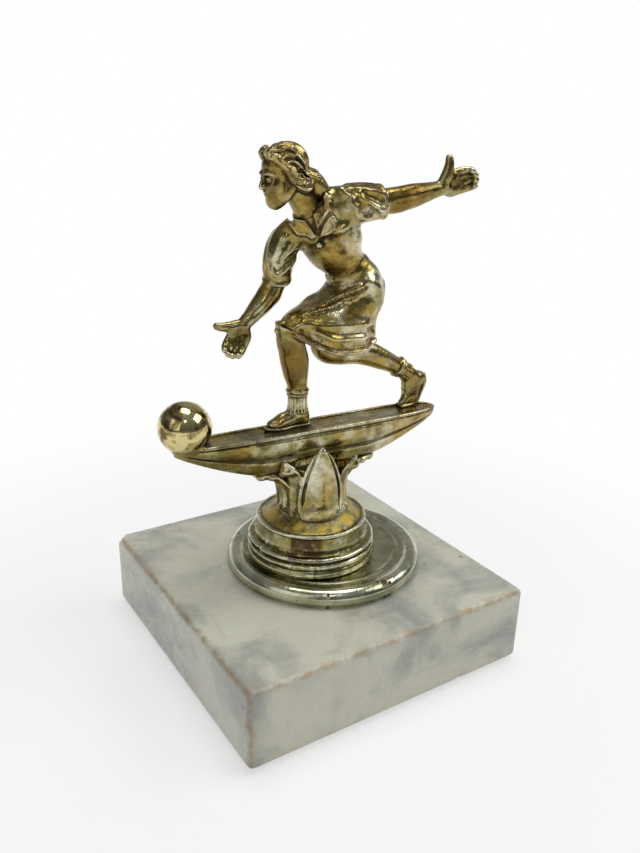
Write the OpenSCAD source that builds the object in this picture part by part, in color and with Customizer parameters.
// Bowling trophy: a cast figure on a boat-shaped lane, carried by a leaf capital and a
// round pedestal, on a pressed metal disc and a square marble base.  One tie stud
// runs up through the marble and clamps the stack from a nut under the base.
// Millimetres.  +Z is up, the ball end of the lane points to -X, -Y is the front, and
// the origin is the centre of the underside.

/* [Marble base] */
// Length of each side of the square marble base
marble_w = 76; // [76:1:100]
// Thickness of the marble base
marble_t = 19.5; // [18:0.5:30]
// Radius of the polished marble edges
marble_edge_r = 1.5; // [0.8:0.1:3]
// Thickness of the felt pads
pad_t = 1; // [0.8:0.1:2]
// Diameter of the felt pads
pad_d = 10; // [8:1:14]

/* [Pressed disc] */
// Outer diameter of the disc
disc_d = 49.2; // [48.4:0.2:52]
// Height of the rolled rim above the marble
disc_rim_h = 4.4; // [4:0.1:4.8]
// Height of the flat floor that carries the pedestal
disc_floor_h = 3.6; // [3:0.1:4]
// Sheet thickness
disc_sheet = 0.7; // [0.5:0.1:1]
// Distance that the disc sits off the stud in its oversize hole
disc_shift = 3.9; // [0:0.1:4]

/* [Pedestal and capital] */
// Radius of the foot ring
foot_r = 16.2; // [15.6:0.1:16.4]
// Radius of the drum at its top rim
drum_rim_r = 13.3; // [12.5:0.1:14]
// Radius of the neck below the leaves
neck_r = 7.8; // [7.4:0.1:8.2]
// Reach of the leaf that curls out under the tail
tail_curl = 8.9; // [7:0.1:9.5]
// Reach of the leaf that curls out under the ball end
ball_curl = 7; // [6:0.1:9]
// Angle that the broad leaves are turned away from square to the front, in degrees
leaf_turn = -10; // [-12:0.5:0]
// Angle between a broad leaf and the small ones beside it, in degrees
small_leaf_gap = 54; // [50:0.5:58]

/* [Lane] */
// Height of the lane's deck above the marble
deck_h = 37.3; // [37:0.1:40]
// Distance from the middle to each pointed end of the lane
lane_reach = 35.4; // [34.6:0.1:36.4]
// Half width of the deck
lane_half_w = 4.25; // [4:0.05:4.6]
// Depth of the lane's hull amidships
hull_depth = 10.2; // [9.6:0.1:10.6]
// Angle that the lane is turned on the pedestal, in degrees
lane_turn = -3.6; // [-6:0.1:0]
// Diameter of the bowling ball
ball_d = 12.1; // [11.5:0.1:12.1]
// Depth that the ball sits in its seat
ball_sink = 1.8; // [1.4:0.1:2.4]

/* [Figure] */
// Diameter of the pegs that locate the cast limbs
peg_d = 1.6; // [1.2:0.1:2]
// Gap round a peg in its socket
peg_gap = 0.1; // [0.05:0.05:0.2]
// Depth of the skirt's drape folds at the hem
fold_depth = 0.55; // [0:0.05:0.8]
// Number of drape folds round the skirt
fold_count = 9; // [5:1:12]
// Slope of the skirt's hem down to the front
hem_fall = 0.2; // [0:0.01:0.25]

/* [Fastening] */
// Diameter of the tie stud
stud_d = 6.35; // [5:0.05:6.4]
// Diameter of the bore through the marble
marble_bore_d = 9; // [8:0.5:10]
// Diameter of the nut recess under the base
recess_d = 22; // [20:1:26]
// Depth of the nut recess
recess_depth = 10.5; // [10.5:0.5:12]

/* [Hidden] */

gilt = "#a08a48";
bright_gilt = "#c9b25a";
plate = "#a9ad8e";
steel = "#9a9c9e";
tiny = 0.01;
round_fn = 96;

top_z = pad_t + marble_t;
deck_z = top_z + deck_h;
seat_h = deck_h - hull_depth;
drum_top_h = 14.2;
neck_base_h = 17.4;
wall_t = 1.8;
boss_r = 6;
boss_bottom_h = 5;
washer_t = 1.6;
washer_d = 16;
lock_t = 1.6;
lock_d = 11;
nut_h = 5.5;
nut_across = 11.1;
stud_low = 0.8;
pad_inset = 9;

// ---------- vectors, splines and skins ----------

function unit(v) = v / norm(v);
function across(v, along) = unit(v - (v * along) * along);
function point(row) = [row[0], row[1], row[2]];

// Catmull-Rom value of the rows p at the real index t; it works on whole rows at once
function spline_at(p, t) =
    let (i = min(floor(t), len(p) - 2),
         f = t - i,
         a = p[max(i - 1, 0)],
         b = p[i],
         c = p[i + 1],
         d = p[min(i + 2, len(p) - 1)])
    b + f / 2 * ((c - a) + f * ((2 * a - 5 * b + 4 * c - d) + f * (3 * b - a - 3 * c + d)));

function spline(p, steps) = [for (k = [0:(len(p) - 1) * steps]) spline_at(p, k / steps)];

// Rings of a limb.  A key is [x, y, z, half size along side, half size across it].
function limb_rings(keys, side, steps, sides) =
    let (rows = spline(keys, steps),
         last = len(rows) - 1)
    [for (k = [0:last])
        let (along = unit(point(rows[min(k + 1, last)]) - point(rows[max(k - 1, 0)])),
             u = across(side, along),
             v = cross(along, u))
        [for (j = [0:sides - 1])
            let (t = 360 * j / sides)
            point(rows[k]) + rows[k][3] * cos(t) * u + rows[k][4] * sin(t) * v]];

function middle(ring) = [for (p = ring) 1] * ring / len(ring);

// Closed skin over rings that all have the same number of points, each turning
// anticlockwise about the way from the first ring to the last.  A cap is a fan round the
// middle of its ring, so that a ring may be scalloped or cupped.
module skin(rings) {
    n = len(rings[0]);
    last = len(rings) - 1;
    total = n * len(rings);
    points = concat([for (ring = rings) for (p = ring) p], [middle(rings[0]), middle(rings[last])]);
    walls = [for (k = [0:last - 1]) for (j = [0:n - 1])
        let (a = k * n + j,
             b = k * n + (j + 1) % n)
        each [[a, a + n, b], [b, a + n, b + n]]];
    caps = [for (j = [0:n - 1])
        let (next = (j + 1) % n)
        each [[total, j, next], [total + 1, last * n + next, last * n + j]]];
    polyhedron(points, concat(walls, caps));
}

module limb(keys, side = [0, 1, 0], steps = 3, sides = 16) {
    skin(limb_rings(keys, side, steps, sides));
}

// Cylinder from one point towards another
module rod(from, to, d, fn = 16) {
    axis = to - from;
    translate(from)
        rotate([0, acos(axis.z / norm(axis)), atan2(axis.y, axis.x)])
            cylinder(d = d, h = norm(axis), $fn = fn);
}

module knob(p, r, fn = 10) {
    translate(p) sphere(r, $fn = fn);
}

// Tapered bar with round ends
module bar(a, ra, b, rb, fn = 10) {
    hull() {
        knob(a, ra, fn);
        knob(b, rb, fn);
    }
}

// ---------- base ----------

module rounded_square(w, h, r) {
    square([w - 2 * r, h], center = true);
    square([w, h - 2 * r], center = true);
    for (sx = [-1, 1], sy = [-1, 1])
        translate([sx * (w / 2 - r), sy * (h / 2 - r)]) circle(r, $fn = 32);
}

module felt_pads() {
    pad_at = marble_w / 2 - pad_inset;
    color("#3c4a3a")
        for (sx = [-1, 1], sy = [-1, 1])
            translate([sx * pad_at, sy * pad_at]) cylinder(d = pad_d, h = pad_t, $fn = 48);
}

// Square slab with all edges rounded: the common part of three rounded prisms
module marble_base() {
    middle = pad_t + marble_t / 2;
    color("#d9d8d2")
        difference() {
            intersection() {
                translate([0, 0, pad_t]) linear_extrude(marble_t)
                    rounded_square(marble_w, marble_w, marble_edge_r);
                translate([0, marble_w / 2, middle]) rotate([90, 0, 0]) linear_extrude(marble_w)
                    rounded_square(marble_w, marble_t, marble_edge_r);
                translate([-marble_w / 2, 0, middle]) rotate([90, 0, 90]) linear_extrude(marble_w)
                    rounded_square(marble_w, marble_t, marble_edge_r);
            }
            translate([0, 0, pad_t - 1]) cylinder(d = marble_bore_d, h = marble_t + 2, $fn = 48);
            translate([0, 0, pad_t - 1]) cylinder(d = recess_d, h = recess_depth + 1, $fn = 64);
        }
}

// Pressed sheet: skirt on the marble, rolled rim, dished step and a flat floor
module base_disc() {
    r = disc_d / 2;
    roll = 2.3;
    roll_at = r - roll;
    hole_r = stud_d / 2 + disc_shift + 0.5;
    inner_roll = roll - disc_sheet;
    middle_h = disc_rim_h - roll;
    outer_end = 180 - asin((disc_floor_h - middle_h) / roll);
    inner_end = 180 - asin((disc_floor_h - disc_sheet - middle_h) / inner_roll);
    arc_steps = 10;
    outer_arc = [for (k = [0:arc_steps])
        let (t = outer_end * k / arc_steps)
        [roll_at + roll * cos(t), middle_h + roll * sin(t)]];
    inner_arc = [for (k = [arc_steps:-1:0])
        let (t = inner_end * k / arc_steps)
        [roll_at + inner_roll * cos(t), middle_h + inner_roll * sin(t)]];
    color(plate)
        translate([disc_shift, 0, top_z])
            rotate_extrude($fn = round_fn)
                polygon(concat([[r, 0]], outer_arc,
                    [[hole_r, disc_floor_h], [hole_r, disc_floor_h - disc_sheet]],
                    inner_arc, [[r - disc_sheet, 0]]));
}

// ---------- pedestal ----------

// Outline of the pedestal's outer face, from the foot up to the neck, as [radius, height]
bead_r = 1.5;
function foot_bead() = [for (t = [-75:15:45])
    [foot_r - bead_r + bead_r * cos(t), disc_floor_h + bead_r + bead_r * sin(t)]];
function drum_outline() = concat(
    [[foot_r - 2.6, disc_floor_h]],
    foot_bead(),
    [[foot_r - 0.35, 6.6], [foot_r - 0.3, 7.1], [foot_r - 0.4, 7.4], [foot_r - 0.8, 7.65],
     [foot_r - 0.8, 8.1], [foot_r - 0.5, 8.5], [foot_r - 0.5, 8.9], [foot_r - 0.8, 9.2],
     [foot_r - 1.6, 9.35], [drum_rim_r + 0.6, 9.9], [drum_rim_r + 0.3, 11], [drum_rim_r + 0.2, 13],
     [drum_rim_r + 0.35, drum_top_h - 0.3], [drum_rim_r, drum_top_h],
     [drum_rim_r - 0.8, drum_top_h - 0.1], [11, 14.9], [9.2, 16], [neck_r + 0.4, neck_base_h]]);

// Hollow drum open below, with a tapped boss for the stud
module pedestal() {
    color(bright_gilt)
        translate([0, 0, top_z])
            difference() {
                union() {
                    rotate_extrude($fn = round_fn)
                        polygon(concat(drum_outline(),
                            [[0, neck_base_h], [0, 13.2], [9.5, 12.8], [11.4, 11.4],
                             [foot_r - wall_t - 1.6, 8.4], [foot_r - 2.6 - tiny, disc_floor_h + 1.5]]));
                    translate([0, 0, boss_bottom_h])
                        cylinder(r = boss_r, h = neck_base_h - boss_bottom_h - 2, $fn = 48);
                }
                translate([0, 0, boss_bottom_h - 1])
                    cylinder(d = stud_d, h = 9, $fn = 48);
            }
}

module tie_stud() {
    low = pad_t + stud_low;
    color(steel)
        translate([0, 0, low])
            cylinder(d = stud_d, h = top_z + boss_bottom_h + 7 - low, $fn = 48);
}

module flat_washer() {
    color(steel)
        translate([0, 0, pad_t + recess_depth - washer_t])
            difference() {
                cylinder(d = washer_d, h = washer_t, $fn = 48);
                translate([0, 0, -1]) cylinder(d = stud_d + 0.6, h = washer_t + 2, $fn = 48);
            }
}

// Spring washer with its split
module lock_washer() {
    color(steel)
        translate([0, 0, pad_t + recess_depth - washer_t - lock_t])
            difference() {
                cylinder(d = lock_d, h = lock_t, $fn = 48);
                translate([0, 0, -1]) cylinder(d = stud_d + 0.3, h = lock_t + 2, $fn = 48);
                translate([stud_d / 2, -0.4, -1]) cube([lock_d, 0.8, lock_t + 2]);
            }
}

module hex_nut() {
    color(steel)
        translate([0, 0, pad_t + recess_depth - washer_t - lock_t - nut_h])
            difference() {
                cylinder(d = nut_across / cos(30), h = nut_h, $fn = 6);
                translate([0, 0, -1]) cylinder(d = stud_d, h = nut_h + 2, $fn = 48);
            }
}

// ---------- leaf capital ----------

// Cross-section of a leaf at one place on its midrib: a crescent with its back outwards.
// A key is [radius, height, half width, thickness, cup depth].
function leaf_ring(keys, k, last, points_half) =
    let (row = keys[k],
         before = keys[max(k - 1, 0)],
         after = keys[min(k + 1, last)],
         run = unit([after[0] - before[0], after[1] - before[1]]),
         out = [run[1], -run[0]])
    concat(
        [for (j = [-points_half:points_half])
            let (s = j / points_half,
                 back = row[3] * (1 - 0.75 * s * s) - row[4] * s * s)
            [row[0] + out[0] * back, row[2] * s, row[1] + out[1] * back]],
        [for (j = [points_half - 1:-1:1 - points_half])
            let (s = j / points_half,
                 back = -row[4] * s * s - row[3] * 0.25)
            [row[0] + out[0] * back, row[2] * s, row[1] + out[1] * back]]);

module leaf(keys, steps = 2, points_half = 3) {
    rows = spline(keys, steps);
    last = len(rows) - 1;
    skin([for (k = [0:last]) leaf_ring(rows, k, last, points_half)]);
}

// Broad leaf that stands up the side of the hull
tall_leaf = [[neck_r + 0.1, neck_base_h, 5.2, 1, 1.9], [neck_r + 0.2, 20.5, 5.3, 1.1, 2],
             [neck_r, 24.3, 4.9, 1.2, 1.6], [neck_r - 0.9, 28.3, 3.7, 1.1, 0.9],
             [neck_r - 2, 31.5, 1.9, 0.9, 0.3], [neck_r - 2.9, 33.7, 0.15, 0.5, 0]];
// Small leaf between the large ones, with a nodding tip beside the hull
small_leaf = [[neck_r - 0.4, neck_base_h, 1.7, 0.9, 0.4], [neck_r - 0.3, 21, 2, 1, 0.5],
              [neck_r - 0.1, 24.5, 2.2, 1, 0.5], [neck_r + 0.8, 27.4, 2.2, 0.9, 0.4],
              [neck_r + 1.9, 28.9, 1.3, 0.7, 0.1], [neck_r + 2.6, 28.8, 0.4, 0.5, 0]];
// Leaf that curls out under an end of the hull, as far as reach from the neck
function curl_leaf(reach) =
    [[neck_r - 0.5, neck_base_h, 3.2, 1.1, 0.6], [neck_r - 0.5, 20.5, 3.4, 1.2, 0.8],
     [neck_r + 0.2, 23.4, 3.4, 1.3, 0.6], [neck_r + 0.42 * reach, 25.6, 3, 1.2, 0.5],
     [neck_r + 0.84 * reach, 26.1, 2.3, 1, 0.4], [neck_r + reach, 25.2, 1.2, 0.7, 0.2]];

module leaf_capital() {
    color(gilt)
        translate([0, 0, top_z])
            difference() {
                union() {
                    // A run of short hulls makes the swelling core under the leaves
                    core = spline([[neck_r + 0.1, neck_base_h], [neck_r + 0.1, 20.5], [neck_r, 23.5],
                                   [neck_r - 0.8, 25.6], [neck_r - 1.4, seat_h + 0.4]], 2);
                    for (k = [0:len(core) - 2])
                        hull() {
                            translate([0, 0, core[k][1]]) cylinder(r = core[k][0], h = tiny, $fn = 20);
                            translate([0, 0, core[k + 1][1] - tiny])
                                cylinder(r = core[k + 1][0], h = tiny, $fn = 20);
                        }
                    rotate(lane_turn) leaf(curl_leaf(tail_curl));
                    rotate(lane_turn + 180) leaf(curl_leaf(ball_curl));
                    for (turn = [90, 270]) {
                        rotate(turn + leaf_turn) leaf(tall_leaf);
                        for (side = [-1, 1])
                            rotate(turn + leaf_turn + side * small_leaf_gap)
                                leaf(small_leaf, points_half = 2);
                    }
                }
                translate([0, 0, -top_z]) lane_solid();
            }
}

// ---------- lane platform ----------

// Half width and depth of the hull at a place from -1 (ball end) to 1 (tail)
function hull_half_w(s) = lane_half_w * pow(max(1 - pow(abs(s), 7), 0), 0.5);
function hull_deep(s) =
    let (flat = 0.36,
         run = max(abs(s) - flat, 0) / (1 - flat))
    hull_depth * (1 - 0.82 * pow(run, 1.35));

// Closed cross-section of the hull: deck, raised rim, groove, swelling side, chine and keel
function hull_ring(s) =
    let (w = max(hull_half_w(s), 0.35),
         d = hull_deep(s),
         rim_w = min(0.75, w / 2),
         rim_h = 0.4 * min(w / 2, 1),
         half = [[w - rim_w, 0], [w - rim_w * 0.8, rim_h], [w - 0.15 * rim_w, rim_h],
                 [w, 0], [w - 0.3 * rim_w, -0.07 * d], [w * 0.98, -0.16 * d], [w * 0.95, -0.32 * d],
                 [w * 0.86, -0.46 * d], [w * 0.72, -0.56 * d], [w * 0.74, -0.63 * d],
                 [w * 0.66, -0.82 * d], [w * 0.4, -d]])
    [for (side = [-1, 1], k = [0:len(half) - 1])
        let (p = half[side == -1 ? k : len(half) - 1 - k])
        [lane_reach * s, side * p[0], p[1]]];

lane_shift = 0.3;

module lane_solid() {
    stations = 24;
    translate([lane_shift, 0, deck_z])
        rotate(lane_turn)
            skin([for (k = [0:stations]) hull_ring(sin(90 * (2 * k / stations - 1)))]);
}

ball_at = [-31.85, 3.1, ball_d / 2 - ball_sink];

module lane_platform() {
    color(gilt)
        difference() {
            lane_solid();
            translate([0, 0, deck_z]) translate(ball_at) sphere(d = ball_d, $fn = 48);
        }
}

module bowling_ball() {
    color(bright_gilt)
        translate([0, 0, deck_z]) translate(ball_at) sphere(d = ball_d, $fn = 48);
}

// ---------- figure: places, measured from the deck ----------

waist = [8.8, 1, 37];
left_cuff = [12.9, -6, 52.2];
right_cuff = [-6.8, 6, 34.6];
left_wrist = [26.7, -8, 54.8];
right_wrist = [-15.6, 5, 25.9];
neck_seat = [-2.8, 0.8, 50.8];
neck_axis = unit([-0.55, -0.03, 0.83]);
hem_mid = [3.2, 0.6, 20.8];
hem_up = unit([0.19, -hem_fall, 1]);
left_arm_way = unit([0.93, -0.27, 0.14]);
right_arm_way = unit([-0.15, 0, -1]);
peg_len = 3;
peg_root = 0.3;

// Point of the hem plane above x, y
function on_hem(x, y) =
    [x, y, hem_mid.z - ((x - hem_mid.x) * hem_up.x + (y - hem_mid.y) * hem_up.y) / hem_up.z];
front_leg_root = on_hem(-5.6, 0.7);
rear_leg_root = on_hem(6.6, 4);

module on_deck() {
    translate([0, 0, deck_z]) children();
}

// Half space beyond a place, in the direction way: two sections meet on its face
module beyond(at, way, size = 60) {
    translate(at)
        rotate([0, acos(way.z / norm(way)), atan2(way.y, way.x)])
            translate([-size / 2, -size / 2, 0]) cube(size);
}

module above_hem() {
    beyond(hem_mid, hem_up);
}

module below_deck() {
    beyond([0, 0, 0], [0, 0, -1], 120);
}

// ---------- figure: body ----------

// Rings of the bodice.  A key is centre, half size to the side, half size to the front
// and the side's direction, which turns with the shoulders.
bodice_keys = [
    [9.2, 1, 36.4, 4.9, 4.6, 0.15, -0.98, 0.05],
    [7.7, 1, 38.6, 5.3, 4.7, 0.22, -0.95, 0.1],
    [5.5, 1, 41.4, 6.9, 5.4, 0.4, -0.85, 0.25],
    [3.5, 0.9, 45, 7.4, 5.2, 0.58, -0.7, 0.4],
    [1.2, 1, 47.8, 6.8, 4.3, 0.67, -0.56, 0.49],
    [-0.7, 0.9, 49.6, 4.9, 3.6, 0.67, -0.56, 0.45],
    [-2.6, 0.8, 51, 3.1, 3, 0.5, -0.8, 0.3],
    [-4.4, 0.7, 53, 2.9, 2.9, 0.5, -0.8, 0.3]];

function bodice_rings(steps, sides) =
    let (rows = spline(bodice_keys, steps),
         last = len(rows) - 1)
    [for (k = [0:last])
        let (along = unit(point(rows[min(k + 1, last)]) - point(rows[max(k - 1, 0)])),
             u = across([rows[k][5], rows[k][6], rows[k][7]], along),
             v = cross(along, u))
        [for (j = [0:sides - 1])
            let (t = 360 * j / sides)
            point(rows[k]) + rows[k][3] * cos(t) * u + rows[k][4] * sin(t) * v]];

// Rings of the skirt: centre, half size to the side, half length to the front, front
// direction's rise, narrowing towards the knee, and how far the folds have opened
skirt_keys = [
    [8.9, 1, 36.9, 5, 4.7, -0.66, 0, 0],
    [9.4, 1, 34.3, 6, 6.1, -0.38, 0.1, 0.1],
    [8.4, 1, 31.4, 6.7, 9.2, -0.2, 0.3, 0.3],
    [6.3, 0.9, 28.9, 6.9, 10.7, -0.03, 0.4, 0.5],
    [3.7, 0.8, 26.5, 6.9, 11.6, 0.04, 0.42, 0.7],
    [2.5, 0.7, 23.5, 7.1, 12.4, 0.11, 0.42, 0.9],
    [3.2, 0.6, 20.8, 7.4, 13.1, 0.19, 0.42, 1]];

function skirt_rings(steps, sides) =
    let (rows = spline(skirt_keys, steps))
    [for (row = rows)
        let (front = unit([-1, 0, row[5]]),
             across_skirt = unit([0, 1, hem_fall * row[7]]))
        [for (j = [0:sides - 1])
            let (t = 360 * j / sides,
                 fold = 1 + row[7] * fold_depth * cos(fold_count * t) / row[3],
                 side = (1 - row[6] * cos(t)) * row[3])
            point(row) + fold * (side * sin(t) * across_skirt + row[4] * cos(t) * front)]];

// Puffed short sleeves, cut square at the cuffs where the arms come out
module sleeves() {
    difference() {
        limb([[1.6, -1.2, 50.8, 4.4, 3.6], [5, -3.2, 51.4, 4.4, 4], [9.4, -4.8, 51.9, 3.9, 3.9],
              [12, -5.7, 52.1, 3.7, 3.7], [14, -6.4, 52.4, 3.9, 3.9]], side = [0, 0, 1], steps = 2);
        beyond(left_cuff, left_arm_way);
    }
    difference() {
        limb([[-2.6, 4.2, 46, 3, 3.4], [-4.9, 5.5, 43.2, 3.5, 3.4], [-6, 5.9, 39.6, 3.4, 3.3],
              [-6.7, 6, 35.6, 3.1, 3.1], [-6.9, 6, 33.6, 3.3, 3.3]], steps = 2);
        beyond(right_cuff, right_arm_way);
    }
}

// Open collar: a roll behind the neck and two lapels down the chest
module collar() {
    limb([[-1.9, -3.4, 46.6, 0.8, 0.6], [-0.6, -2.9, 49.6, 0.9, 0.7], [0.6, -0.6, 51.4, 0.9, 0.75],
          [0, 2, 51.2, 0.9, 0.75], [-2.6, 4.1, 48.6, 0.9, 0.7], [-4.6, 2.9, 45.4, 0.8, 0.6]],
         side = neck_axis, steps = 3, sides = 8);
    chest_v = [-2.6, -1.9, 43.2];
    bar([-1.9, -3.4, 46.6], 0.8, chest_v, 0.6, 8);
    bar([-4.6, 2.9, 45.4], 0.8, chest_v, 0.6, 8);
}

// Flat belt: four rings round the waist that stand a little proud of it
module belt() {
    up = unit([-0.66, 0, 1]);
    front = unit([-1, 0, -0.66]);
    sides = 32;
    skin([for (edge = [[0.6, 4.6], [0.45, 5.1], [-0.45, 5.1], [-0.6, 4.6]])
        [for (j = [0:sides - 1])
            let (t = 360 * j / sides)
            waist + edge[0] * up + edge[1] * (sin(t) * [0, 1, 0] + cos(t) * front)]]);
}

// Peg at the root of a cast section, and the socket that takes it
module peg(at, way, gap = 0) {
    rod(at + peg_root * way, at - (peg_len + gap) * way, peg_d + 2 * gap);
}

// What the joints take out of the body: the neck's seat and the pegs' sockets
module sockets() {
    difference() {
        rod(neck_seat, neck_seat + 6 * neck_axis, 7.4, 32);
        beyond(neck_seat, -neck_axis);
    }
    peg(neck_seat, neck_axis, peg_gap);
    peg(left_cuff, left_arm_way, peg_gap);
    peg(right_cuff, right_arm_way, peg_gap);
    peg(front_leg_root, -hem_up, peg_gap);
    peg(rear_leg_root, -hem_up, peg_gap);
}

module figure_body() {
    color(gilt)
        on_deck()
            difference() {
                union() {
                    skin(bodice_rings(2, 24));
                    skin(skirt_rings(2, 4 * fold_count));
                    sleeves();
                    collar();
                    belt();
                }
                sockets();
                nape_fall();
            }
}

// ---------- figure: head ----------

head_mid = [-9, 0.5, 58.1];
head_bow = 11;
head_turn = 166;

// Ellipsoid at a place of the head's own frame: +X out of the face, +Z to the crown
module swell(at, radii, fn = 20) {
    translate(at) scale(radii) sphere(1, $fn = fn);
}

module skull() {
    hull() {
        swell([-0.8, 0, 1.5], [4.8, 4.1, 4.4], 16);
        swell([1.6, 0, -2.6], [2.9, 3.1, 3.6], 14);
        swell([2.4, 0, -5.9], [1.5, 1.6, 1.4], 12);
    }
    // nose, brows and lips
    bar([4, 0, -0.2], 0.45, [4.9, 0, -2], 0.6, 8);
    for (s = [-1, 1])
        bar([3.9, 0.5 * s, 0.1], 0.5, [3, 2.3 * s, 0.1], 0.5, 8);
    bar([3.7, -0.6, -3.8], 0.55, [3.7, 0.6, -3.8], 0.55, 8);
}

// Waved hair: a cap, a lock rolled back from the brow on each side, a wave above it and
// a roll at the nape
module hair() {
    swell([-1.7, 0, 1.9], [5.3, 4.7, 4.6]);
    for (s = [-1, 1]) {
        limb([[2.3, 0.3 * s, 5.3, 0.9, 0.9], [2.9, 1.9 * s, 4.4, 1.2, 1.1], [2.5, 3.4 * s, 2.2, 1.3, 1.2],
              [0.8, 4.2 * s, -0.3, 1.4, 1.2], [-1.6, 4.2 * s, -2.4, 1.5, 1.3], [-4.2, 3 * s, -3.4, 1.6, 1.4],
              [-5.8, 0.8 * s, -3.6, 1.6, 1.4]], side = [1, 0, 0.4], steps = 2, sides = 10);
        limb([[0.6, 1.2 * s, 6.2, 0.5, 0.5], [0, 3.4 * s, 4.9, 0.8, 0.7], [-1.4, 4.5 * s, 2.2, 0.9, 0.7],
              [-3.6, 4.1 * s, -0.2, 0.9, 0.7], [-5.6, 2.4 * s, -1.6, 0.8, 0.7]],
             side = [1, 0, 0.6], steps = 2, sides = 8);
    }
}

// Hair that falls behind the neck onto the shoulders
module nape_fall() {
    limb([[-3.4, 0.8, 57.6, 3.2, 1.6], [-1.2, 0.8, 56.6, 3.6, 2], [0.8, 0.7, 54.8, 3.6, 1.7],
          [1.9, 0.7, 53.4, 3, 1]], steps = 2, sides = 12);
}

module figure_head() {
    color(gilt)
        on_deck() {
            difference() {
                limb([[-1.6, 0.8, 49.4, 2.9, 3], [-3.4, 0.8, 51.8, 2.5, 2.7], [-4.7, 0.7, 53.8, 2.3, 2.5],
                      [-5.8, 0.6, 56, 2.3, 2.6]]);
                beyond(neck_seat, -neck_axis);
            }
            peg(neck_seat, neck_axis);
            nape_fall();
            translate(head_mid) rotate([0, head_bow, head_turn]) {
                skull();
                hair();
            }
        }
}

// ---------- figure: arms ----------

// Open hand: palm, four fingers and thumb.  reach points to the fingertips, thumb_side
// to the thumb and palm_way out of the palm.
module hand(wrist, reach, thumb_side, palm_way, size) {
    palm_end = wrist + 0.45 * size * reach;
    hull() {
        knob(wrist, 0.17 * size);
        for (s = [-1, 1])
            knob(palm_end + s * 0.24 * size * thumb_side, 0.12 * size);
    }
    for (k = [0:3]) {
        s = (k - 1.5) / 1.5;
        root = palm_end + s * 0.25 * size * thumb_side;
        bend = root + 0.3 * size * reach + s * 0.02 * size * thumb_side;
        tip = bend + 0.2 * size * reach + 0.1 * size * palm_way;
        bar(root, 0.085 * size, bend, 0.08 * size, 8);
        bar(bend, 0.08 * size, tip, 0.065 * size, 8);
    }
    thumb_root = wrist + 0.14 * size * reach + 0.16 * size * thumb_side;
    thumb_bend = thumb_root + 0.16 * size * reach + 0.24 * size * thumb_side;
    thumb_tip = thumb_bend + 0.1 * size * reach + 0.2 * size * thumb_side;
    bar(thumb_root, 0.12 * size, thumb_bend, 0.09 * size, 8);
    bar(thumb_bend, 0.09 * size, thumb_tip, 0.07 * size, 8);
}

module left_arm() {
    color(gilt)
        on_deck() {
            intersection() {
                limb([[11, -5.5, 51.9, 2.9, 2.7], [17, -6.8, 52.8, 2.75, 2.6], [22, -7.5, 53.8, 2.4, 2.2],
                  [26.7, -8, 54.8, 1.7, 1.6], [28.2, -8.1, 55.1, 1.6, 1.5]], side = [0, 0, 1]);
                beyond(left_cuff, left_arm_way);
            }
            hand(left_wrist + [1.2, 0, 0.3], unit([0.95, -0.1, 0.24]), unit([-0.1, 0, 1]), [0, -1, 0], 8.8);
            peg(left_cuff, left_arm_way);
        }
}

module right_arm() {
    color(gilt)
        on_deck() {
            intersection() {
                limb([[-6, 6, 36.5, 2.6, 2.6], [-9.2, 5.8, 31.4, 2.6, 2.5], [-12.5, 5.4, 28.4, 2.2, 2.1],
                  [-15.3, 5, 25.9, 1.6, 1.6], [-16, 4.9, 25, 1.5, 1.5]]);
                beyond(right_cuff, right_arm_way);
            }
            hand(right_wrist + [-0.1, 0, -0.3], unit([-0.52, -0.05, -0.81]), unit([-0.65, 0.62, 0.43]),
                 unit([-0.51, -0.78, 0.36]), 7.9);
            peg(right_cuff, right_arm_way);
        }
}

// ---------- figure: legs ----------

module front_leg() {
    color(gilt)
        on_deck()
            difference() {
                union() {
                    limb([[-6.7, 0.4, 25, 3.1, 3.3], [-6.1, 0.6, 21.5, 3.1, 3.3], [-4.9, 1, 17, 3, 3.4],
                          [-3.9, 1.5, 12, 2.4, 2.8], [-3.4, 1.8, 8.6, 2, 2.3], [-3.3, 1.9, 5, 2.1, 2.5]]);
                    sock_cuff([-3.5, 1.8, 9], 2.4, [0, 0, 1]);
                    shoe([-1.9, 1.9, 0], [-11, 2.2, 0], 4);
                    peg(front_leg_root, -hem_up);
                }
                difference() {
                    above_hem();
                    peg(front_leg_root, -hem_up);
                }
                below_deck();
            }
}

// Rolled top of an ankle sock: a band with a rounded edge round the shin
module sock_cuff(at, r, axis) {
    sides = 20;
    u = across([0, 1, 0], axis);
    v = cross(axis, u);
    skin([for (edge = [[-0.5, 0.3], [-0.3, 0.45], [0.3, 0.45], [0.5, 0.3]])
        [for (j = [0:sides - 1])
            let (t = 360 * j / sides)
            at + edge[0] * axis + (r + edge[1]) * (cos(t) * u + sin(t) * v)]]);
}

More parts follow.
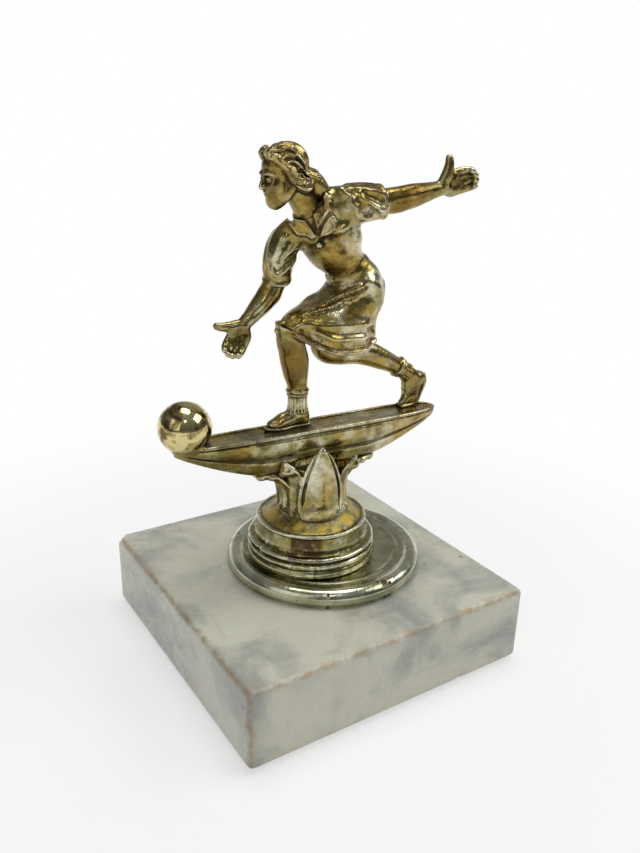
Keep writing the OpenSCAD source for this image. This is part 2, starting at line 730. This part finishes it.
// Low shoe on a thin sole, from heel to toe
module shoe(heel, toe, tall) {
    way = unit(toe - heel);
    hull() {
        translate(heel) cylinder(r = 1.9, h = 0.9, $fn = 20);
        translate(heel + 0.62 * (toe - heel)) cylinder(r = 2.3, h = 0.9, $fn = 20);
        translate(toe) cylinder(r = 1.3, h = 0.9, $fn = 20);
    }
    hull() {
        knob(heel + [0, 0, 2.2] + 0.1 * way, 1.75, 14);
        knob(heel + [0, 0, tall] + 1.2 * way, 1.7, 14);
        knob(heel + 3.4 * way + [0, 0, 1.8], 1.9, 14);
    }
    hull() {
        knob(heel + 3.2 * way + [0, 0, 1.9], 1.9, 14);
        knob(heel + 6 * way + [0, 0, 1.3], 1.9, 14);
        knob(toe + [0, 0, 1.1], 1.1, 14);
    }
}

module rear_leg() {
    color(gilt)
        on_deck()
            difference() {
                union() {
                    limb([[6, 4, 22.8, 3, 3], [5.8, 4, 18.4, 3, 3.2], [8.6, 3.9, 16.2, 2.9, 3.1],
                          [14, 3.5, 15.6, 2.7, 3.1], [20, 2.9, 13.8, 2.5, 3], [25.4, 2.2, 11.1, 2.2, 2.4],
                          [29, 1.7, 8.8, 2, 2.1]], side = [0, 1, 0]);
                    // shoe on its toe, heel lifted
                    bar([29, 1.7, 8.8], 2, [32.9, 1.3, 6.6], 1.8, 14);
                    bar([32.9, 1.3, 6.6], 1.8, [30.6, 0.9, 2.6], 1.6, 14);
                    bar([29.8, 1.6, 7.8], 2, [29.6, 0.9, 2.4], 1.7, 14);
                    hull() {
                        knob([30.4, 0.9, 2.6], 1.6, 14);
                        translate([28.8, 0.6, 0]) cylinder(r = 1.9, h = 0.8, $fn = 20);
                        translate([27, 0.5, 0]) cylinder(r = 1.6, h = 0.8, $fn = 20);
                    }
                    sock_cuff([26.9, 2, 10.2], 2.4, [-0.84, 0, 0.54]);
                    peg(rear_leg_root, -hem_up);
                }
                difference() {
                    above_hem();
                    peg(rear_leg_root, -hem_up);
                }
                below_deck();
            }
}

felt_pads();
marble_base();
base_disc();
pedestal();
leaf_capital();
lane_platform();
bowling_ball();
figure_body();
figure_head();
right_arm();
left_arm();
front_leg();
rear_leg();
tie_stud();
flat_washer();
lock_washer();
hex_nut();
